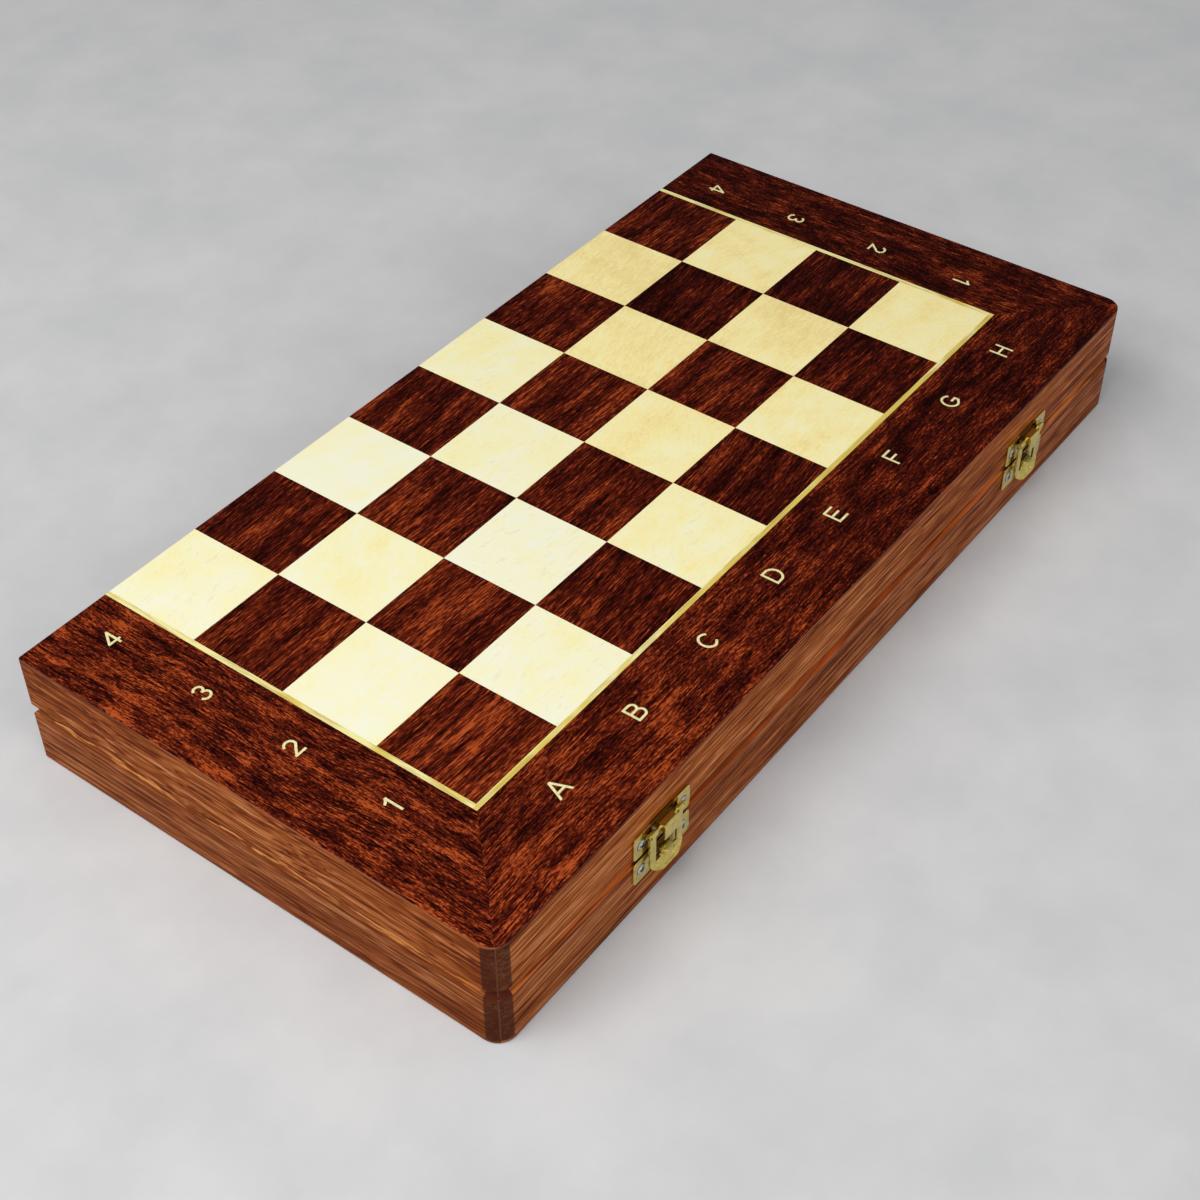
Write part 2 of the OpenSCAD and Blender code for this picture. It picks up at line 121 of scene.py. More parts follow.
def feed(tree, socket, value):
    # A socket takes either a link or a plain value
    if isinstance(value, bpy.types.NodeSocket):
        tree.links.new(value, socket)
    else:
        socket.default_value = value


def addNode(tree, kind, sockets=None, **settings):
    made = tree.nodes.new("ShaderNode" + kind)
    for name, value in settings.items():
        setattr(made, name, value)
    for name, value in (sockets or {}).items():
        feed(tree, made.inputs[name], value)
    return made


def calc(tree, operation, first, second=0.0, third=0.0):
    sockets = {0: first, 1: second, 2: third}
    return addNode(tree, "Math", sockets, operation=operation).outputs[0]


def vectorCalc(tree, operation, first, second=(0.0, 0.0, 0.0)):
    made = addNode(tree, "VectorMath", {0: first, 1: second}, operation=operation)
    return made.outputs["Value" if operation in ("DOT_PRODUCT", "LENGTH") else "Vector"]


def axesOf(tree, vector):
    return addNode(tree, "SeparateXYZ", {0: vector}).outputs


def fromAxes(tree, x, y, z=0.0):
    return addNode(tree, "CombineXYZ", {"X": x, "Y": y, "Z": z}).outputs[0]


def spread(tree, value, low, high, toLow=0.0, toHigh=1.0):
    sockets = {"Value": value, "From Min": low, "From Max": high, "To Min": toLow, "To Max": toHigh}
    return addNode(tree, "MapRange", sockets, interpolation_type="SMOOTHSTEP").outputs["Result"]


def noise(tree, vector, scale, detail=2.0, roughness=0.5):
    sockets = {"Vector": vector, "Scale": scale, "Detail": detail, "Roughness": roughness}
    return addNode(tree, "TexNoise", sockets).outputs["Fac"]


def ramp(tree, value, stops):
    made = addNode(tree, "ValToRGB", {"Fac": value})
    points = made.color_ramp.elements
    while len(points) < len(stops):
        points.new(0.5)
    for point, (place, colour) in zip(points, stops):
        point.position = place
        point.color = (*colour, 1.0)
    return made.outputs["Color"]


def blendOf(tree, first, second, share):
    # That share of the first, and the rest of the second
    return calc(tree, "MULTIPLY_ADD", first, share, calc(tree, "MULTIPLY", second, 1 - share))


def mixColour(tree, share, first, second):
    return addNode(tree, "Mix", {0: share, 6: first, 7: second}, data_type="RGBA").outputs[2]


def tint(tree, mask, strength, colour, other):
    # Takes the colour towards the other one where the mask is
    return mixColour(tree, calc(tree, "MULTIPLY", mask, strength), colour, other)


def newGroup(name, takes, gives):
    tree = bpy.data.node_groups.new(name, "ShaderNodeTree")
    for socketName, kind, value in takes:
        socket = tree.interface.new_socket(socketName, in_out="INPUT", socket_type="NodeSocket" + kind)
        if value is not None:
            socket.default_value = value
    for socketName, kind in gives:
        tree.interface.new_socket(socketName, in_out="OUTPUT", socket_type="NodeSocket" + kind)
    return tree, tree.nodes.new("NodeGroupInput").outputs, tree.nodes.new("NodeGroupOutput").inputs


def useGroup(tree, group, **sockets):
    return addNode(tree, "Group", sockets, node_tree=group).outputs


def newMaterial(name, roughness, specular, metallic=0.0):
    material = bpy.data.materials.new(name)
    material.use_nodes = True
    tree = material.node_tree
    shader = tree.nodes["Principled BSDF"]
    shader.inputs["Roughness"].default_value = roughness
    shader.inputs["Specular IOR Level"].default_value = specular
    shader.inputs["Metallic"].default_value = metallic
    return material, tree, shader


def roughInto(tree, shader, tone, low, high, ends):
    # As rough as the two ends say, where the tone is low and where it is high
    tree.links.new(spread(tree, tone, low, high, *ends), shader.inputs["Roughness"])


def bumpInto(tree, shader, height, relief, normal=None):
    depth, strength = relief     # the depth in millimetres
    sockets = {"Height": height, "Distance": depth * mm, "Strength": strength}
    if normal is not None:
        sockets["Normal"] = normal
    made = addNode(tree, "Bump", sockets)
    tree.links.new(made.outputs["Normal"], shader.inputs["Normal"])


grainFigure = {
    "layers": {          # length and width of the marks in fibres, then detail and roughness of the noise
        "Fibre": (1.0, 1.6, 2.0, 0.6),
        "Fine": (0.2, 1.1, 1.0, 0.6),
        "Band": (9.0, 12.0, 2.0, 0.55),
        "Cloud": (2.2, 14.0, 2.0, 0.5),
    },
    "pores": {"length": 0.55, "width": 1.3, "from": 0.40, "to": 0.24},
    "lines": {"length": 3.0, "width": 1.9, "detail": 1.0, "roughness": 0.6, "thin": 0.055},
    "bend": {"squeeze": (0.55, 1.0, 1.0), "scale": 0.03, "detail": 1.0, "y": 9.0, "z": 5.0},
    "seedStep": (173.1, 71.7, 37.3),
}


def grainGroup(setup):
    # Wood fibres in millimetres, the grain along X. Seed moves to another part of the same tree.
    tree, take, give = newGroup(
        "grain",
        [("Vector", "Vector", None), ("Seed", "Float", 0.0), ("Length", "Float", 9.0),
         ("Width", "Float", 0.6), ("Sway", "Float", 1.0)],
        [(layer, "Float") for layer in (*setup["layers"], "Pores", "Lines")])
    shift = vectorCalc(tree, "MULTIPLY", take["Seed"], setup["seedStep"])
    place = vectorCalc(tree, "ADD", take["Vector"], shift)
    bends = setup["bend"]
    slow = vectorCalc(tree, "MULTIPLY", place, bends["squeeze"])
    bend = calc(tree, "SUBTRACT", noise(tree, slow, bends["scale"], bends["detail"]), 0.5)
    axes = axesOf(tree, place)
    bentY = calc(tree, "MULTIPLY_ADD", bend, calc(tree, "MULTIPLY", take["Sway"], bends["y"]), axes["Y"])
    bentZ = calc(tree, "MULTIPLY_ADD", bend, calc(tree, "MULTIPLY", take["Sway"], bends["z"]), axes["Z"])

    def stretched(length, width):
        alongFibre = calc(tree, "MULTIPLY", take["Length"], length)
        acrossFibre = calc(tree, "MULTIPLY", take["Width"], width)
        return fromAxes(
            tree, calc(tree, "DIVIDE", axes["X"], alongFibre),
            calc(tree, "DIVIDE", bentY, acrossFibre), calc(tree, "DIVIDE", bentZ, acrossFibre))

    for layer, (length, width, detail, roughness) in setup["layers"].items():
        tree.links.new(noise(tree, stretched(length, width), 1.0, detail, roughness), give[layer])
    pores = setup["pores"]
    sockets = {"Vector": stretched(pores["length"], pores["width"]), "Scale": 1.0}
    spots = addNode(tree, "TexVoronoi", sockets).outputs["Distance"]
    tree.links.new(spread(tree, spots, pores["from"], pores["to"]), give["Pores"])
    lines = setup["lines"]
    wave = noise(tree, stretched(lines["length"], lines["width"]), 1.0, lines["detail"], lines["roughness"])
    offMiddle = calc(tree, "ABSOLUTE", calc(tree, "SUBTRACT", wave, 0.5))
    tree.links.new(spread(tree, offMiddle, lines["thin"], 0.0), give["Lines"])
    return tree


def squareGroup(setup):
    # Tells the squares apart: two random values for each, and its own piece of veneer
    tree, take, give = newGroup(
        "squares",
        [("Vector", "Vector", None), ("Turn", "Float", 0.1)],
        [("Vector", "Vector"), ("Random", "Float"), ("Other", "Float")])
    axes = axesOf(tree, take["Vector"])

    def whichCell(axis, start):
        inward = calc(tree, "SUBTRACT", axes[axis], start)
        return calc(tree, "FLOOR", calc(tree, "DIVIDE", inward, setup["square"]))

    cell = fromAxes(tree, whichCell("X", setup["left"]), whichCell("Y", setup["front"]))
    chance = addNode(tree, "TexWhiteNoise", {"Vector": cell}, noise_dimensions="3D").outputs
    jump = vectorCalc(tree, "MULTIPLY", chance["Color"], setup["veneerJump"])
    angle = calc(tree, "MULTIPLY", calc(tree, "SUBTRACT", chance["Value"], 0.5), take["Turn"])
    sockets = {"Vector": take["Vector"], "Angle": angle}
    turned = addNode(tree, "VectorRotate", sockets, rotation_type="Z_AXIS").outputs[0]
    tree.links.new(vectorCalc(tree, "ADD", turned, jump), give["Vector"])
    tree.links.new(chance["Value"], give["Random"])
    tree.links.new(axesOf(tree, chance["Color"])["Y"], give["Other"])
    return tree


def edgeGroup():
    # The surface's normal as if its sharp edges were rounded by Radius millimetres
    tree, take, give = newGroup("edges", [("Radius", "Float", 0.4)], [("Normal", "Vector")])
    size = calc(tree, "MULTIPLY", take["Radius"], mm)
    tree.links.new(addNode(tree, "Bevel", {"Radius": size}, samples=4).outputs[0], give["Normal"])
    return tree


grain = grainGroup(grainFigure)
squares = squareGroup(board)
edges = edgeGroup()


def inMillimetres(tree):
    place = addNode(tree, "TexCoord").outputs["Object"]
    return vectorCalc(tree, "MULTIPLY", place, (1 / mm,) * 3)


def alongGrain(tree, place, turned=True):
    # X and Y change places for wood whose grain runs along Y
    if not turned:
        return place
    axes = axesOf(tree, place)
    return fromAxes(tree, axes["Y"], axes["X"], axes["Z"])


def useGrain(tree, place, seed, fibre):
    return useGroup(tree, grain, Vector=place, Seed=seed, Length=fibre["length"], Width=fibre["width"],
                    Sway=fibre["sway"])


def addLayers(tree, wood, layers, tone):
    # Each layer of the figure lightens or darkens the tone about its own middle
    for layer, part in layers.items():
        tone = calc(tree, "MULTIPLY_ADD", calc(tree, "SUBTRACT", wood[layer], 0.5), part, tone)
    return tone


def paintedLightFromLeft(tree, place, most, level):
    # Painted light: lighter towards the left end, as the light falls there
    half = caseSize["halfLength"]
    return spread(tree, axesOf(tree, place)["X"], -half, half, level + most, level - most)


darkVeneer = {
    "stops": [
        (0.08, (0.0060, 0.0006, 0.0005)), (0.28, (0.022, 0.0018, 0.0010)), (0.45, (0.050, 0.0048, 0.0020)),
        (0.60, (0.094, 0.0105, 0.0032)), (0.77, (0.190, 0.0270, 0.0065)), (0.97, (0.400, 0.072, 0.0150))],
    "narrowSide": [(0.38, (0.080, 0.020, 0.008)), (0.58, (0.270, 0.080, 0.026))],
    "upright": (0.5, 0.3),           # how level the faces are between which the narrow side starts
    "layers": {"Fibre": 1.25, "Fine": 1.20, "Band": 0.57, "Cloud": 0.95},
    "pores": 0.20,
    "tone": 0.5,
    "squareTones": (0.42, 0.58),     # the darkest and the palest square
    "squareTurn": 0.16,              # how far out of line their grain may lie, in radians
    "paintedLeftLight": 0.09,                   # painted light: the left end is lighter
    "roughness": (0.49, 0.37),       # of the darkest and the palest wood
    "specular": 0.035,
    "relief": (0.02, 0.4),
}
veneerCuts = {
    "square": {"length": 14.0, "width": 0.42, "sway": 0.3, "lines": 0.22, "level": 0.03},
    "long": {"length": 8.0, "width": 0.42, "sway": 0.5, "lines": 0.36, "level": 0.04},
    "end": {"length": 6.5, "width": 0.44, "sway": 0.9, "lines": 0.50, "level": 0.05},
}


def makeDarkVeneer(name, seed, turned=False, cut="long"):
    setup = darkVeneer
    cutting = veneerCuts[cut]
    material, tree, shader = newMaterial(name, setup["roughness"][0], setup["specular"])
    place = inMillimetres(tree)
    along = alongGrain(tree, place, turned)
    tone = setup["tone"]
    if cut == "square":
        cells = useGroup(tree, squares, Vector=along, Turn=setup["squareTurn"])
        along = cells["Vector"]
        tone = spread(tree, cells["Random"], 0.0, 1.0, *setup["squareTones"])
    wood = useGrain(tree, along, seed, cutting)
    tone = addLayers(tree, wood, setup["layers"], tone)
    tone = calc(tree, "MULTIPLY_ADD", wood["Pores"], -setup["pores"], tone)
    tone = calc(tree, "MULTIPLY_ADD", wood["Lines"], -cutting["lines"], tone)
    tone = calc(tree, "ADD", tone, paintedLightFromLeft(tree, place, setup["paintedLeftLight"], cutting["level"]))
    colour = ramp(tree, tone, setup["stops"])
    if cut != "square":
        facing = axesOf(tree, addNode(tree, "NewGeometry").outputs["Normal"])["Z"]
        upright = spread(tree, calc(tree, "ABSOLUTE", facing), *setup["upright"])
        colour = mixColour(tree, upright, colour, ramp(tree, wood["Band"], setup["narrowSide"]))
    tree.links.new(colour, shader.inputs["Base Color"])
    roughInto(tree, shader, tone, 0.2, 0.8, setup["roughness"])
    bumpInto(tree, shader, tone, setup["relief"])
    return material


paleVeneer = {
    "stops": [
        (0.20, (0.785, 0.620, 0.260)), (0.40, (0.865, 0.745, 0.345)), (0.56, (0.850, 0.798, 0.465)),
        (0.78, (0.830, 0.822, 0.640))],
    "layers": {"Fibre": 0.35, "Fine": 0.30, "Band": 0.4, "Cloud": 0.38},
    "fibre": {"length": 5.0, "width": 0.9, "sway": 1.6},
    "squareTones": (-0.10, 0.10),
    "squareTurn": 0.6,
    # painted light: the left end is lighter
    "paintedLeftLight": 0.20,
    "tone": 0.53,
    "flecks": (0.78, 0.66, 0.32, 1.0),
    "fleckFibres": (0.56, 0.70),     # the fibres that can be flecks
    "fleckSquares": (0.35, 0.8),     # the squares that have any
    "fleckStrength": 0.45,
    "roughness": 0.45,
    "specular": 0.15,
    "relief": (0.012, 0.4),
}


def makePaleVeneer(name, seed):
    setup = paleVeneer
    material, tree, shader = newMaterial(name, setup["roughness"], setup["specular"])
    place = inMillimetres(tree)
    cells = useGroup(tree, squares, Vector=place, Turn=setup["squareTurn"])
    wood = useGrain(tree, cells["Vector"], seed, setup["fibre"])
    tone = spread(tree, cells["Random"], 0.0, 1.0, *setup["squareTones"])
    tone = calc(tree, "ADD", tone, paintedLightFromLeft(tree, place, setup["paintedLeftLight"], setup["tone"]))
    tone = addLayers(tree, wood, setup["layers"], tone)
    flecked = spread(tree, cells["Other"], *setup["fleckSquares"])
    flecks = calc(tree, "MULTIPLY", spread(tree, wood["Fibre"], *setup["fleckFibres"]), flecked)
    colour = tint(tree, flecks, setup["fleckStrength"], ramp(tree, tone, setup["stops"]), setup["flecks"])
    tree.links.new(colour, shader.inputs["Base Color"])
    bumpInto(tree, shader, wood["Fibre"], setup["relief"])
    return material


stringingFinish = {
    "light": (0.80, 0.73, 0.32, 1.0),
    "gold": (0.66, 0.51, 0.10, 1.0),
    "dark": (0.42, 0.28, 0.07, 1.0),
    "patchSize": 0.05,
    "goldPatches": (0.48, 0.66),     # how much of the line has gone yellow
    "frontGold": 0.16,               # the front line has gone more yellow than the ends
    "darkFibres": (0.36, 0.54),
    "darkStrength": 0.5,
    "fibre": {"length": 14.0, "width": 0.7, "sway": 0.5},
    "seeds": (3.0, 4.0),             # of the front line and the end lines
    "joint": (0.5, 0.2),             # how softly their colour and their grain change over, in mm
    "roughness": 0.4,
    "specular": 0.3,
    "relief": (0.01, 0.4),
}


def makeStringing(name):
    setup = stringingFinish
    material, tree, shader = newMaterial(name, setup["roughness"], setup["specular"])
    place = inMillimetres(tree)
    axes = axesOf(tree, place)
    frontSeed, endSeed = setup["seeds"]
    colourJoint, grainJoint = setup["joint"]
    frontFibre = useGrain(tree, place, frontSeed, setup["fibre"])["Fibre"]
    endFibre = useGrain(tree, alongGrain(tree, place), endSeed, setup["fibre"])["Fibre"]
    outward = calc(tree, "ABSOLUTE", axes["X"])
    onEnd = spread(tree, outward, -board["left"], -board["left"] + grainJoint)
    change = calc(tree, "SUBTRACT", endFibre, frontFibre)
    fibre = calc(tree, "MULTIPLY_ADD", onEnd, change, frontFibre)
    more = spread(tree, axes["Y"], board["front"], board["front"] - colourJoint, 0.0, setup["frontGold"])
    patches = calc(tree, "ADD", noise(tree, place, setup["patchSize"]), more)
    colour = mixColour(tree, spread(tree, patches, *setup["goldPatches"]), setup["light"], setup["gold"])
    darkened = spread(tree, fibre, *setup["darkFibres"], setup["darkStrength"], 0.0)
    colour = mixColour(tree, darkened, colour, setup["dark"])
    tree.links.new(colour, shader.inputs["Base Color"])
    bumpInto(tree, shader, fibre, setup["relief"])
    return material


sideWood = {
    "golden": [
        (0.12, (0.090, 0.0115, 0.0004)), (0.34, (0.172, 0.0330, 0.0016)), (0.50, (0.260, 0.0605, 0.0060)),
        (0.66, (0.350, 0.1000, 0.0210)), (0.90, (0.530, 0.210, 0.075))],
    "ruddy": [
        (0.12, (0.072, 0.0100, 0.0006)), (0.34, (0.138, 0.0265, 0.0020)), (0.50, (0.200, 0.0450, 0.0055)),
        (0.66, (0.268, 0.0740, 0.0180)), (0.90, (0.410, 0.155, 0.055))],
    "layers": {"Fibre": 1.35, "Fine": 0.70, "Band": 0.55, "Cloud": 0.45, "Lines": -0.42},
    "fibre": {"length": 45.0, "width": 0.80},
    "tone": 0.42,
    # painted light: the left end is lighter
    "paintedLeftLight": {"golden": 0.06, "ruddy": 0.02},
    "endGrain": (0.042, 0.0095, 0.0042, 1.0),
    "mitre": (0.20, 0.085, 0.045, 1.0),
    "rim": (0.150, 0.036, 0.0125, 1.0),
    "gap": (0.060, 0.0095, 0.0040, 1.0),     # painted shade on the lips of the gap, between the bare places
    "strength": {
        "endGrain": 0.85, "mitre": 0.4, "rim": 0.6, "darkRim": 0.55, "gap": 0.7, "cornerRim": 0.85},
    "dashes": {          # where the wood is bare along the seam, painted bright as a highlight: their size, how many, their colours
        "end": {"length": 12.0, "width": 0.48, "sway": 0.25, "from": 0.495, "to": 0.59, "high": 2.1,
                "stops": [(0.35, (0.48, 0.155, 0.034)), (0.60, (0.66, 0.295, 0.095))]},
        "long": {"length": 42.0, "width": 0.90, "sway": 0.25, "from": 0.46, "to": 0.60, "high": 2.9,
                 "stops": [(0.40, (0.40, 0.060, 0.004)), (0.62, (0.56, 0.180, 0.045))]},
    },
    "gapPatches": (0.5, 0.4),        # which parts of the seam have painted shade on the lips
    "dashFade": 0.9,                 # this and the next five are in millimetres
    "gapHigh": (1.3, 0.5),
    "rimBevel": (2.2, 1.8),          # from the seam: where the bevel ends
    "innerStop": (2.6, 2.3),         # from the outer face: behind this the seam's marks end
    "cornerStart": (6.6, 5.9),       # from both outer faces: where the end grain begins
    "mitreLine": (0.5, 0.15),
    "roughness": (0.46, 0.35),
    "specular": 0.03,
    "relief": (0.03, 0.5),
}


def cornerMasks(tree, axes):
    # The two rounded front corners, where the end grain shows, and the line of the mitre on them
    setup = sideWood
    fromEnd = calc(tree, "SUBTRACT", caseSize["halfLength"], calc(tree, "ABSOLUTE", axes["X"]))
    fromFront = calc(tree, "ADD", caseSize["halfDepth"], axes["Y"])
    nearEnd = spread(tree, fromEnd, *setup["cornerStart"])
    nearFront = spread(tree, fromFront, *setup["cornerStart"])
    offMitre = calc(tree, "ABSOLUTE", calc(tree, "SUBTRACT", fromEnd, fromFront))
    corner = calc(tree, "MULTIPLY", nearEnd, nearFront)
    return corner, calc(tree, "MULTIPLY", spread(tree, offMitre, *setup["mitreLine"]), corner)


def paintSeamWearAndLight(tree, colour, along, seed, marks, fromSeam, onRim, outer, corner):
    # The lower half's rim: a dull bevel, painted shade on the lips at the gap, and bare places with painted
    # highlights between them
    setup = sideWood
    strength = setup["strength"]
    seamGrain = useGrain(tree, along, seed, marks)
    low = spread(tree, fromSeam, marks["high"], marks["high"] - setup["dashFade"])
    dashes = calc(tree, "MULTIPLY", spread(tree, seamGrain["Fibre"], marks["from"], marks["to"]), low)
    dashes = calc(tree, "MULTIPLY", dashes, calc(tree, "SUBTRACT", outer, corner))
    colour = tint(tree, onRim, strength["rim"], colour, setup["rim"])
    # Painted shade in the gap under the lid, in patches
    nearGap = calc(tree, "MULTIPLY", spread(tree, fromSeam, *setup["gapHigh"]), outer)
    nearGap = calc(tree, "MULTIPLY", nearGap, spread(tree, seamGrain["Cloud"], *setup["gapPatches"]))
    colour = tint(tree, nearGap, strength["gap"], colour, setup["gap"])
    # Bare wood with a painted highlight
    colour = mixColour(tree, dashes, colour, ramp(tree, seamGrain["Band"], marks["stops"]))
    return tint(tree, calc(tree, "MULTIPLY", onRim, corner), strength["cornerRim"], colour, setup["gap"])


def makeSideWood(name, seed, kind, turned, worn, sway, shade):
    setup = sideWood
    strength = setup["strength"]
    material, tree, shader = newMaterial(name, setup["roughness"][0], setup["specular"])
    place = inMillimetres(tree)
    axes = axesOf(tree, place)
    along = alongGrain(tree, place, turned)
    wood = useGrain(tree, along, seed, {**setup["fibre"], "sway": sway})
    value = setup["tone"] + shade
    if not turned:
        value = paintedLightFromLeft(tree, place, setup["paintedLeftLight"][kind], value)
    value = addLayers(tree, wood, setup["layers"], value)
    colour = ramp(tree, value, setup[kind])
    corner, mitre = cornerMasks(tree, axes)
    colour = tint(tree, corner, strength["endGrain"], colour, setup["endGrain"])
    colour = tint(tree, mitre, strength["mitre"], colour, setup["mitre"])
    axis, half = ("X", caseSize["halfLength"]) if turned else ("Y", caseSize["halfDepth"])
    inner, begin = setup["innerStop"]
    outer = spread(tree, calc(tree, "ABSOLUTE", axes[axis]), half - inner, half - begin)
    fromSeam = calc(tree, "ABSOLUTE", calc(tree, "SUBTRACT", axes["Z"], caseSize["seam"]))
    onRim = calc(tree, "MULTIPLY", spread(tree, fromSeam, *setup["rimBevel"]), outer)
    if worn:
        marks = setup["dashes"]["end" if turned else "long"]
        colour = paintSeamWearAndLight(tree, colour, along, seed + 4.0, marks, fromSeam, onRim, outer, corner)
    else:
        # the lid's bevel faces down: painted shade on it
        colour = tint(tree, onRim, strength["darkRim"], colour, setup["endGrain"])
    tree.links.new(colour, shader.inputs["Base Color"])
    roughInto(tree, shader, value, 0.2, 0.8, setup["roughness"])
    bumpInto(tree, shader, value, setup["relief"])
    return material


plywoodFinish = {
    "stops": [(0.35, (0.42, 0.27, 0.13)), (0.65, (0.66, 0.47, 0.27))],
    "fibre": {"length": 30.0, "width": 1.0, "sway": 0.6},
    "seed": 8.0,
    "roughness": 0.6,
    "specular": 0.3,
}


def makePlywood(name):
    setup = plywoodFinish
    material, tree, shader = newMaterial(name, setup["roughness"], setup["specular"])
    wood = useGrain(tree, inMillimetres(tree), setup["seed"], setup["fibre"])
    tone = blendOf(tree, wood["Fibre"], wood["Band"], 0.5)
    tree.links.new(ramp(tree, tone, setup["stops"]), shader.inputs["Base Color"])
    return material


feltFinish = {
    "stops": [(0.35, (0.010, 0.058, 0.026)), (0.65, (0.030, 0.125, 0.062))],
    "nap": (2.4, 4.0, 0.7),          # scale, detail and roughness of a noise
    "clumps": (0.22, 2.0),
    "napShare": 0.65,
    "sheen": 0.35,
    "sheenRoughness": 0.6,
    "roughness": 0.95,
    "specular": 0.1,
    "relief": (0.25, 0.6),
}


def makeFelt(name):
    setup = feltFinish
    material, tree, shader = newMaterial(name, setup["roughness"], setup["specular"])
    shader.inputs["Sheen Weight"].default_value = setup["sheen"]
    shader.inputs["Sheen Roughness"].default_value = setup["sheenRoughness"]
    place = inMillimetres(tree)
    nap = noise(tree, place, *setup["nap"])
    tone = blendOf(tree, nap, noise(tree, place, *setup["clumps"]), setup["napShare"])
    tree.links.new(ramp(tree, tone, setup["stops"]), shader.inputs["Base Color"])
    bumpInto(tree, shader, nap, setup["relief"])
    return material


metalFinish = {
    "smear": (0.5, 4.0, 0.6),        # scale, detail and roughness of a noise
    "specks": (5.0, 2.0, 0.6),
    "smearShare": 0.7,
    "edgeRadius": 0.12,              # millimetres
    "specular": 0.5,
    "relief": (0.06, 0.6),
}
brassFinish = {
    "latch": {"stops": [(0.35, (0.50, 0.37, 0.07)), (0.52, (0.73, 0.59, 0.165))],
              # deep: painted shade on the brass behind the lever
              "roughness": (0.26, 0.15), "deep": (0.22, 0.125, 0.018, 1.0)},
    "hinge": {"stops": [(0.35, (0.50, 0.36, 0.13)), (0.52, (0.78, 0.60, 0.26))],
              "roughness": (0.42, 0.26)},
}
leverShadePaint = {             # painted shade behind the levers, in millimetres
    "acrossFrom": 7.0,
    "acrossTo": 5.5,
    "outFrom": 2.2,
    "outTo": 1.4,
    "strength": 0.9,
}


def paintedShadeBehindLever(tree, place):
    # Painted shade on the brass that lies deep behind the levers
    part = leverShadePaint
    axes = axesOf(tree, place)
    low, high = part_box("right_catch_plate")
    fromLatch = calc(tree, "SUBTRACT", calc(tree, "ABSOLUTE", axes["X"]), (low.x + high.x) / 2 / mm)
    inside = spread(tree, calc(tree, "ABSOLUTE", fromLatch), part["acrossFrom"], part["acrossTo"])
    front = -caseSize["halfDepth"]
    close = spread(tree, axes["Y"], front - part["outFrom"], front - part["outTo"])
    return calc(tree, "MULTIPLY", inside, close)


def makeBrass(name, setup):
    metal = metalFinish
    material, tree, shader = newMaterial(name, setup["roughness"][0], metal["specular"], 1.0)
    place = inMillimetres(tree)
    rounded = useGroup(tree, edges, Radius=metal["edgeRadius"])["Normal"]
    smear = noise(tree, place, *metal["smear"])
    tone = blendOf(tree, smear, noise(tree, place, *metal["specks"]), metal["smearShare"])
    colour = ramp(tree, tone, setup["stops"])
    if "deep" in setup:      # painted shade on the brass behind the lever
        colour = tint(tree, paintedShadeBehindLever(tree, place), leverShadePaint["strength"], colour, setup["deep"])
    tree.links.new(colour, shader.inputs["Base Color"])
    roughInto(tree, shader, tone, 0.35, 0.6, setup["roughness"])
    bumpInto(tree, shader, smear, metal["relief"], rounded)
    return material


steelFinish = {
    "stops": [(0.3, (0.34, 0.34, 0.32)), (0.6, (0.66, 0.67, 0.65))],
    "smear": (1.2, 4.0, 0.6),
    "roughness": (0.34, 0.18),
    # painted shade round the heads' rims and in their recesses
    "paintedScrewShade": (0.060, 0.050, 0.030, 1.0),
    "paintedScrewShadeStrength": 0.85,
    "rim": (0.80, 0.98),             # where the painted shade lies, in shares of the head's radius
    "recess": (0.50, 0.22),
}


def fromScrews(tree, place, node, other):
    # How far each point lies from its screw's axis, as a share of the head's radius
    low, high = (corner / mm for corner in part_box(node))
    otherMiddle = sum(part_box(other), Vector()).z / mm / 2
    radius = (high.z - low.z) / 2
    middle = (high + low) / 2
    axes = axesOf(tree, place)
    fromLatch = calc(tree, "SUBTRACT", calc(tree, "ABSOLUTE", axes["X"]), abs(middle.x))
    inX = calc(tree, "SUBTRACT", calc(tree, "ABSOLUTE", fromLatch), (high.x - low.x) / 2 - radius)
    seam = (middle.z + otherMiddle) / 2
    fromSeam = calc(tree, "ABSOLUTE", calc(tree, "SUBTRACT", axes["Z"], seam))
    inZ = calc(tree, "SUBTRACT", fromSeam, abs(middle.z - seam))
    return calc(tree, "DIVIDE", vectorCalc(tree, "LENGTH", fromAxes(tree, inX, inZ)), radius)


def makeSteel(name, latchScrews=False):
    setup = steelFinish
    material, tree, shader = newMaterial(name, setup["roughness"][0], metalFinish["specular"], 1.0)
    place = inMillimetres(tree)
    smear = noise(tree, place, *setup["smear"])
    colour = ramp(tree, smear, setup["stops"])
    if latchScrews:
        out = fromScrews(tree, place, "left_catch_screws", "left_keeper_screws")
        # Painted shade in the cross recess and round the rim of each head
        paintedShade = calc(tree, "MAXIMUM", spread(tree, out, *setup["rim"]), spread(tree, out, *setup["recess"]))
        colour = tint(tree, paintedShade, setup["paintedScrewShadeStrength"], colour, setup["paintedScrewShade"])
    tree.links.new(colour, shader.inputs["Base Color"])
    roughInto(tree, shader, smear, 0.3, 0.7, setup["roughness"])
    return material


signPaintFinish = {
    "stops": [(0.35, (0.60, 0.54, 0.22)), (0.60, (0.80, 0.76, 0.42))],
    "patches": (1.4, 3.0, 0.6),
    "roughness": 0.5,
    "specular": 0.3,
    "relief": (0.01, 0.4),
}


def makeSignPaint(name):
    setup = signPaintFinish
    material, tree, shader = newMaterial(name, setup["roughness"], setup["specular"])
    tone = noise(tree, inMillimetres(tree), *setup["patches"])
    tree.links.new(ramp(tree, tone, setup["stops"]), shader.inputs["Base Color"])
    bumpInto(tree, shader, tone, setup["relief"])
    return material


softEdges = {
    "rail": 0.18,        # widths in millimetres
    "border": 0.05,
    "brass": 0.09,
    "segments": 2,
    "weld": 0.001,       # points closer than this are one
    "flat": 0.5,         # degrees: faces that lie flatter than this are one
    "sharpest": 28.0,    # degrees: blunter edges stay as they are
}


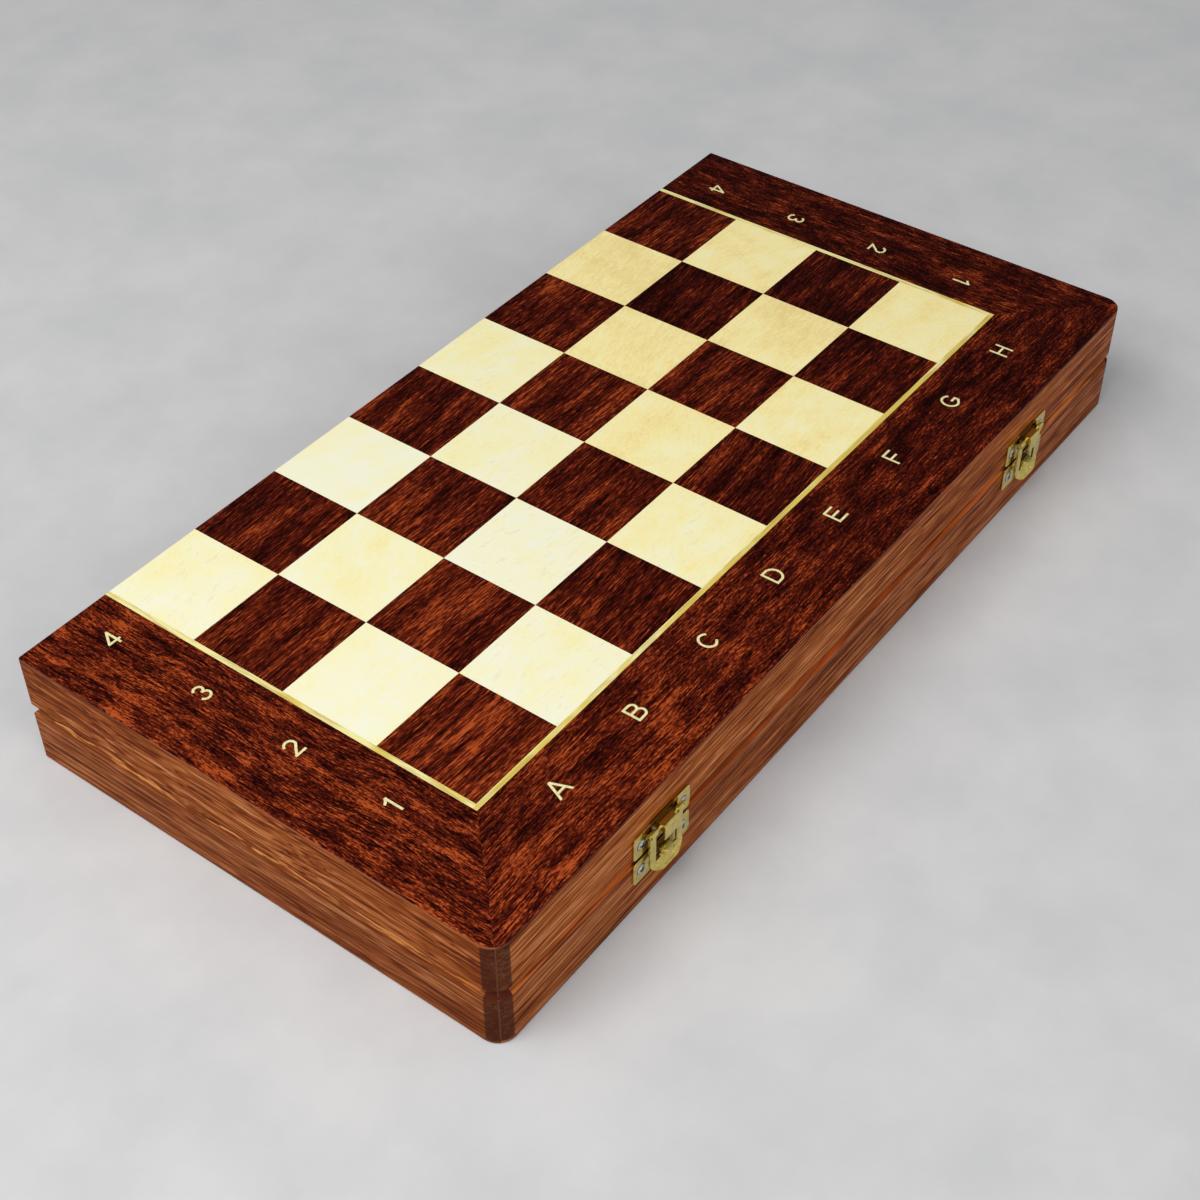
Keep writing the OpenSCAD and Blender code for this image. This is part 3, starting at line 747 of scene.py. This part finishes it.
def softCopy(node, width, body):
    # The node's own mesh with its sharp edges rounded, to stand in the node's place
    setup = softEdges
    sharpest = math.radians(setup["sharpest"])
    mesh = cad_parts[node].data.copy()
    mesh.materials.clear()
    work = bmesh.new()
    work.from_mesh(mesh)
    bmesh.ops.remove_doubles(work, verts=work.verts, dist=setup["weld"] * mm)
    bmesh.ops.dissolve_limit(
        work, angle_limit=math.radians(setup["flat"]), verts=work.verts, edges=work.edges)
    work.to_mesh(mesh)
    work.free()
    piece = bpy.data.objects.new(node + "_finish", mesh)
    bpy.context.scene.collection.objects.link(piece)
    bevel = piece.modifiers.new("edges", "BEVEL")
    bevel.width = width * mm
    bevel.segments = setup["segments"]
    bevel.limit_method = "ANGLE"
    bevel.angle_limit = sharpest
    bevel.harden_normals = True
    bevel.use_clamp_overlap = True
    mesh.shade_smooth()
    mesh.set_sharp_from_angle(angle=sharpest)
    evaluated = piece.evaluated_get(bpy.context.evaluated_depsgraph_get())
    piece.data = bpy.data.meshes.new_from_object(evaluated)
    piece.modifiers.clear()
    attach(piece, body)
    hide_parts(node)
    return piece


def dress(node, material):
    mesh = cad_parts[node].data
    mesh.materials.clear()
    mesh.materials.append(material)


def coat(piece, material):
    piece.data.materials.clear()
    piece.data.materials.append(material)


addCamera(cameraSetup)
addLamps()
print("camera and lamps set")

railPlan = {             # pairs are for the base and the lid
    "front_rail": {"turned": False, "seeds": (11.0, 2.0), "sway": (0.35, 0.35), "shade": (-0.065, -0.025)},
    "back_rail": {"turned": False, "seeds": (5.0, 6.0), "sway": (0.5, 0.4), "shade": (-0.03, -0.03)},
    "left_rail": {"turned": True, "seeds": (7.0, 8.0), "sway": (0.5, 1.3), "shade": (-0.05, -0.12)},
    "right_rail": {"turned": True, "seeds": (9.0, 10.0), "sway": (0.8, 0.5), "shade": (-0.04, -0.06)},
}
borderPlan = {
    "front_border": {"turned": False, "cut": "long", "seeds": (20.0, 25.0)},
    "left_border": {"turned": True, "cut": "end", "seeds": (21.0, 26.0)},
    "right_border": {"turned": True, "cut": "end", "seeds": (22.0, 27.0)},
}
squareSeeds = {"dark": (31.0, 32.0), "pale": (41.0, 42.0)}


def dressHalf(half):
    upper = half == "lid"
    for name, plan in railPlan.items():
        piece = softCopy(f"{half}_{name}", softEdges["rail"], half)
        coat(piece, makeSideWood(
            f"side_wood_{half}_{name}", plan["seeds"][upper], "golden" if upper else "ruddy",
            plan["turned"], not upper, plan["sway"][upper], plan["shade"][upper]))
    for name, plan in borderPlan.items():
        piece = softCopy(f"{half}_{name}", softEdges["border"], half)
        coat(piece, makeDarkVeneer(
            f"dark_veneer_{half}_{name}", plan["seeds"][upper], plan["turned"], plan["cut"]))
    dark, pale = squareSeeds["dark"][upper], squareSeeds["pale"][upper]
    dress(f"{half}_dark_squares", makeDarkVeneer(f"dark_squares_{half}", dark, cut="square"))
    dress(f"{half}_pale_squares", makePaleVeneer(f"pale_squares_{half}", pale))


feltSheet = {
    "cells": (96, 44),
    "rolled": 0.45,                  # how far the cut edge is rounded over
    "uneven": 0.05,                  # the glue under the felt isn't quite even
    "ripples": ((0.045, 0.06), (0.13, 0.11)),     # how quickly that changes along X and Y
    "rippleStart": 0.7,
    "ragged": 0.18,                  # how far the cut edge wanders inwards
    "wander": (0.31, 0.23),          # how quickly that changes along X and Y
    "wanderStart": (1.3, 0.4),
}


def rippleAt(setup, x, y):
    (slowX, slowY), (fastX, fastY) = setup["ripples"]
    slow = math.sin(slowX * x + setup["rippleStart"]) * math.cos(slowY * y)
    return slow + 0.5 * math.sin(fastX * x - fastY * y)


def wanderAt(setup, x, y):
    # From 0 to 1 along the cut edges
    (rateX, rateY), (startX, startY) = setup["wander"], setup["wanderStart"]
    return 0.5 + 0.5 * math.sin(rateX * x + startX) * math.sin(rateY * y + startY)


def addLining(half, setup, material):
    # A closed thin sheet: level 0 is glued to the panel, level 1 shows
    low, high = (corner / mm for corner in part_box(f"{half}_lining"))
    across, deep = setup["cells"]
    up = half == "base"
    glued, shown = (low.z, high.z) if up else (high.z, low.z)
    inward = 1 if up else -1
    work = bmesh.new()

    def point(i, j, level):
        x = low.x + (high.x - low.x) * i / across
        y = low.y + (high.y - low.y) * j / deep
        wander = setup["ragged"] * wanderAt(setup, x, y)
        x += wander * ((i == 0) - (i == across))
        y += wander * ((j == 0) - (j == deep))
        z = glued
        if level:
            z = shown - inward * setup["uneven"] * (1 + 0.6 * rippleAt(setup, x, y))
            if i in (0, across) or j in (0, deep):
                z -= inward * setup["rolled"]
        return work.verts.new((x * mm, y * mm, z * mm))

    layers = []
    for level in (0, 1):
        layers.append([[point(i, j, level) for j in range(deep + 1)] for i in range(across + 1)])
    for level, points in enumerate(layers):
        for i in range(across):
            for j in range(deep):
                face = [points[i][j], points[i + 1][j], points[i + 1][j + 1], points[i][j + 1]]
                work.faces.new(face if bool(level) == up else face[::-1])
    edge = [(i, 0) for i in range(across)] + [(across, j) for j in range(deep)]
    edge += [(i, deep) for i in range(across, 0, -1)] + [(0, j) for j in range(deep, 0, -1)]
    for (i, j), (k, m) in zip(edge, edge[1:] + edge[:1]):
        face = [layers[0][i][j], layers[0][k][m], layers[1][k][m], layers[1][i][j]]
        work.faces.new(face if up else face[::-1])
    mesh = bpy.data.meshes.new(f"{half}_felt")
    work.to_mesh(mesh)
    work.free()
    mesh.shade_smooth()
    mesh.materials.append(material)
    piece = bpy.data.objects.new(f"{half}_felt", mesh)
    bpy.context.scene.collection.objects.link(piece)
    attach(piece, half)
    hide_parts(f"{half}_lining")


for half in halves:
    dressHalf(half)
stringing, plywood, felt = makeStringing("stringing"), makePlywood("plywood"), makeFelt("felt")
for half in halves:
    dress(f"{half}_stringing", stringing)
    dress(f"{half}_panel", plywood)
    addLining(half, feltSheet, felt)
print("wood dressed")

latchBrass = makeBrass("latch_brass", brassFinish["latch"])
hingeBrass = makeBrass("hinge_brass", brassFinish["hinge"])
steel = makeSteel("pin_steel")
screwSteel = makeSteel("screw_steel", True)
for side in sides:
    for part, body in (("catch_plate", "base"), ("keeper_plate", "lid"), ("latch_lever", side + "_lever")):
        coat(softCopy(f"{side}_{part}", softEdges["brass"], body), latchBrass)
    dress(f"{side}_latch_pin", latchBrass)
    dress(f"{side}_catch_screws", screwSteel)
    dress(f"{side}_keeper_screws", screwSteel)
    for part, body in (("hinge_base_leaf", "base"), ("hinge_lid_leaf", "lid")):
        coat(softCopy(f"{side}_{part}", softEdges["brass"], body), hingeBrass)
    dress(f"{side}_hinge_pin", steel)
for half in halves:
    dress(f"{half}_hinge_screws", hingeBrass)
print("fittings dressed")

signSetup = {
    "height": 7.5,       # cap height
    "stroke": 0.120,     # share of the cap height
    "proud": 0.02,
    "sunk": 0.3,
    "bendLimit": 0.5,    # keeps a sharp bend from widening the stroke
    "letterLine": -76.0,
    "numberLine": 175.7,
    "drift": {"A": -0.4, "C": -0.3, "G": 1.4, "H": 1.8},   # how far each is off its even place
    "rankDrift": {"2": 0.4, "3": 0.3, "4": 2.3},
}


def bow(centre, radii, start, end, steps=14):
    # Points along an arc of an ellipse, in degrees
    angles = [math.radians(start + (end - start) * i / steps) for i in range(steps + 1)]
    return [(centre[0] + radii[0] * math.cos(a), centre[1] + radii[1] * math.sin(a)) for a in angles]


inset = signSetup["stroke"] / 2      # from the outline to the middle of a stroke
top = 1 - inset
signStrokes = {   # middle lines of the strokes; the cap height is 1
    "A": [[(0.07, 0), (0.465, 1)], [(0.86, 0), (0.465, 1)], [(0.20, 0.33), (0.73, 0.33)]],
    "B": [[(inset, 0), (inset, 1)],
          [(inset, top), (0.40, top)] + bow((0.40, 0.7325), (0.215, 0.2025), 90, -90) + [(inset, 0.53)],
          [(0.40, 0.53)] + bow((0.45, 0.2975), (0.235, 0.2325), 90, -90) + [(inset, inset)]],
    "C": [bow((0.43, 0.5), (0.365, 0.435), 38, 322, 26)],
    "D": [
        [(inset, 0), (inset, 1)],
        [(inset, top)] + bow((0.34, 0.5), (0.40, top - 0.5), 90, -90, 18) + [(inset, inset)]],
    "E": [
        [(inset, 0), (inset, 1)],
        [(inset, top), (0.72, top)],
        [(inset, 0.52), (0.68, 0.52)],
        [(inset, inset), (0.75, inset)]],
    "F": [[(inset, 0), (inset, 1)], [(inset, top), (0.68, top)], [(inset, 0.51), (0.61, 0.51)]],
    "G": [bow((0.45, 0.5), (0.385, 0.435), 38, 315, 26) + [(0.83, 0.235), (0.83, 0.45), (0.49, 0.45)]],
    "H": [[(inset, 0), (inset, 1)], [(0.72, 0), (0.72, 1)], [(inset, 0.53), (0.72, 0.53)]],
    "1": [[(0.33, 0), (0.33, 1)], [(0.04, 0.735), (0.20, 0.83), (0.335, 0.985)]],
    "2": [
        bow((0.335, 0.69), (0.265, 0.245), 172, -30) + [(0.36, 0.36), (0.14, 0.10)],
        [(0.03, inset), (0.66, inset)]],
    "3": [bow((0.31, 0.735), (0.225, 0.20), 165, -90), bow((0.32, 0.30), (0.265, 0.235), 90, -168)],
    "4": [[(0.50, 0), (0.50, 1)], [(0.0, 0.26), (0.68, 0.26)], [(0.05, 0.27), (0.49, 0.95)]],
    "5": [[(0.60, top), (0.17, top), (0.11, 0.50)] + bow((0.33, 0.32), (0.27, 0.255), 128, -165, 18)],
    "6": [bow((0.335, 0.31), (0.265, 0.245), 90, 450, 24), bow((0.42, 0.48), (0.35, 0.455), 42, 190, 16)],
    "7": [[(0.03, top), (0.63, top)], [(0.60, top), (0.40, 0.58), (0.29, 0.28), (0.25, 0)]],
    "8": [bow((0.335, 0.735), (0.21, 0.20), 90, 450, 24), bow((0.335, 0.29), (0.265, 0.225), 90, 450, 24)],
}
signWidths = {
    sign: max(x for stroke in strokes for x, y in stroke) + inset for sign, strokes in signStrokes.items()}


def strokeMesh(points, level):
    # A flat ribbon along a middle line, as a closed solid. Straight strokes that end on the
    # cap line or the base line are cut level there.
    closed = (Vector(points[0]) - Vector(points[-1])).length < 1e-4
    if closed:
        points = points[:-1]
    count = len(points)
    half = signSetup["stroke"] / 2
    rims = []
    for i, point in enumerate(points):
        here = Vector(point)
        before = Vector(points[i - 1]) if closed or i else None
        after = Vector(points[(i + 1) % count]) if closed or i < count - 1 else None
        into = here - before if before else None
        out = after - here if after else None
        ways = [way.normalized() for way in (into, out) if way]
        way = sum(ways, Vector((0, 0))).normalized()
        across = Vector((-way.y, way.x)) * (half / max(signSetup["bendLimit"], way.dot(ways[0])))
        if level and len(ways) == 1 and here.y in (0, 1):
            across = Vector((-half / abs(way.y) if way.y > 0 else half / abs(way.y), 0))
        rims.append((here + across, here - across))
    work = bmesh.new()
    rings = []
    for left, right in rims:
        corners = ((left, 0), (right, 0), (right, -1), (left, -1))
        rings.append([work.verts.new((p.x, p.y, z)) for p, z in corners])
    pairs = list(zip(rings, rings[1:] + ([rings[0]] if closed else [])))
    for a, b in pairs:
        for k in range(4):
            work.faces.new((a[k], a[(k + 1) % 4], b[(k + 1) % 4], b[k]))
    if not closed:
        work.faces.new(reversed(rings[0]))
        work.faces.new(rings[-1])
    bmesh.ops.recalc_face_normals(work, faces=work.faces)
    mesh = bpy.data.meshes.new("stroke")
    work.to_mesh(mesh)
    work.free()
    return mesh


def signMesh(sign):
    # All the strokes of a letter or number, joined into one solid
    made = []
    for points in signStrokes[sign]:
        piece = bpy.data.objects.new("stroke", strokeMesh(points, len(points) == 2))
        bpy.context.scene.collection.objects.link(piece)
        made.append(piece)
    body, rest = made[0], made[1:]
    for other in rest:
        join = body.modifiers.new("join", "BOOLEAN")
        join.operation = "UNION"
        join.solver = "EXACT"
        join.object = other
    bpy.context.view_layer.update()
    mesh = bpy.data.meshes.new_from_object(body.evaluated_get(bpy.context.evaluated_depsgraph_get()))
    for piece in made:
        bpy.data.objects.remove(piece)
    return mesh


signMeshes = {sign: signMesh(sign) for sign in signStrokes}


def placedSign(sign, x, y, z, right, up):
    # right and up are the directions of a reader of this sign
    size = signSetup["height"]
    out = right.cross(up)
    frameOfSign = Matrix((right, up, out)).transposed().to_4x4()
    depth = signSetup["proud"] + signSetup["sunk"]
    toMiddle = Matrix.Translation((-signWidths[sign] / 2 * size, -size / 2, signSetup["proud"]))
    scaled = Matrix.Diagonal((size, size, depth, 1))
    return Matrix.Scale(mm, 4) @ Matrix.Translation((x, y, z)) @ frameOfSign @ toMiddle @ scaled


def addSigns(name, half, places, material):
    work = bmesh.new()
    for sign, x, y, z, right, up in places:
        mesh = signMeshes[sign].copy()
        mesh.transform(placedSign(sign, x, y, z, right, up))
        work.from_mesh(mesh)
    mesh = bpy.data.meshes.new(name)
    work.to_mesh(mesh)
    work.free()
    mesh.materials.append(material)
    piece = bpy.data.objects.new(name, mesh)
    bpy.context.scene.collection.objects.link(piece)
    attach(piece, half)


eastward, northward = Vector((1, 0, 0)), Vector((0, 1, 0))
signPaint = makeSignPaint("sign_paint")


def signsOfHalf(half):
    setup = signSetup
    upper = half == "lid"
    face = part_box(f"{half}_front_border")[1 if upper else 0].z / mm
    letters, numbers = [], []
    for i, letter in enumerate("ABCDEFGH"):
        x = board["left"] + board["square"] * (i + 0.5)
        drift = setup["drift"].get(letter, 0) if upper else 0
        right = eastward if upper else -eastward
        letters.append((letter, x + drift, setup["letterLine"], face, right, northward))
    for i, number in enumerate("1234" if upper else "8765"):
        y = board["front"] + board["square"] * (i + 0.5)
        drift = setup["rankDrift"].get(number, 0) if upper else 0
        read = northward if upper else -northward
        numbers.append((number, -setup["numberLine"], y + drift, face, eastward, read))
        numbers.append((number, setup["numberLine"], y, face, -eastward, -read))
    addSigns(f"{half}_letters", half, letters, signPaint)
    addSigns(f"{half}_numbers", half, numbers, signPaint)


for half in halves:
    signsOfHalf(half)
print("letters and numbers laid in")


def addFloor(setup):
    work = bmesh.new()
    cells = setup["cells"]
    bmesh.ops.create_grid(work, x_segments=cells, y_segments=cells, size=setup["reach"])
    bmesh.ops.translate(work, vec=(0, 0, -setup["under"] * mm), verts=work.verts)
    mesh = bpy.data.meshes.new("floor")
    work.to_mesh(mesh)
    work.free()
    material, tree, shader = newMaterial("floor", setup["roughness"], setup["specular"])
    patches = noise(tree, inMillimetres(tree), *setup["patches"])
    tree.links.new(ramp(tree, patches, setup["stops"]), shader.inputs["Base Color"])
    mesh.materials.append(material)
    floor = bpy.data.objects.new("floor", mesh)
    bpy.context.scene.collection.objects.link(floor)


def addSky(setup):
    world = bpy.data.worlds.new("sky")
    world.use_nodes = True
    bpy.context.scene.world = world
    tree = world.node_tree
    way = addNode(tree, "TexCoord").outputs["Generated"]
    dimSide = tuple(Vector(setup["dimSide"]).normalized())
    share = spread(tree, vectorCalc(tree, "DOT_PRODUCT", way, dimSide), setup["from"], setup["to"])
    colour = mixColour(tree, share, setup["bright"], setup["dim"])
    tree.links.new(colour, tree.nodes["Background"].inputs["Color"])


addFloor(floorSetup)
addSky(skySetup)
bpy.context.scene.view_settings.view_transform = "Standard"
print("floor and sky in place")
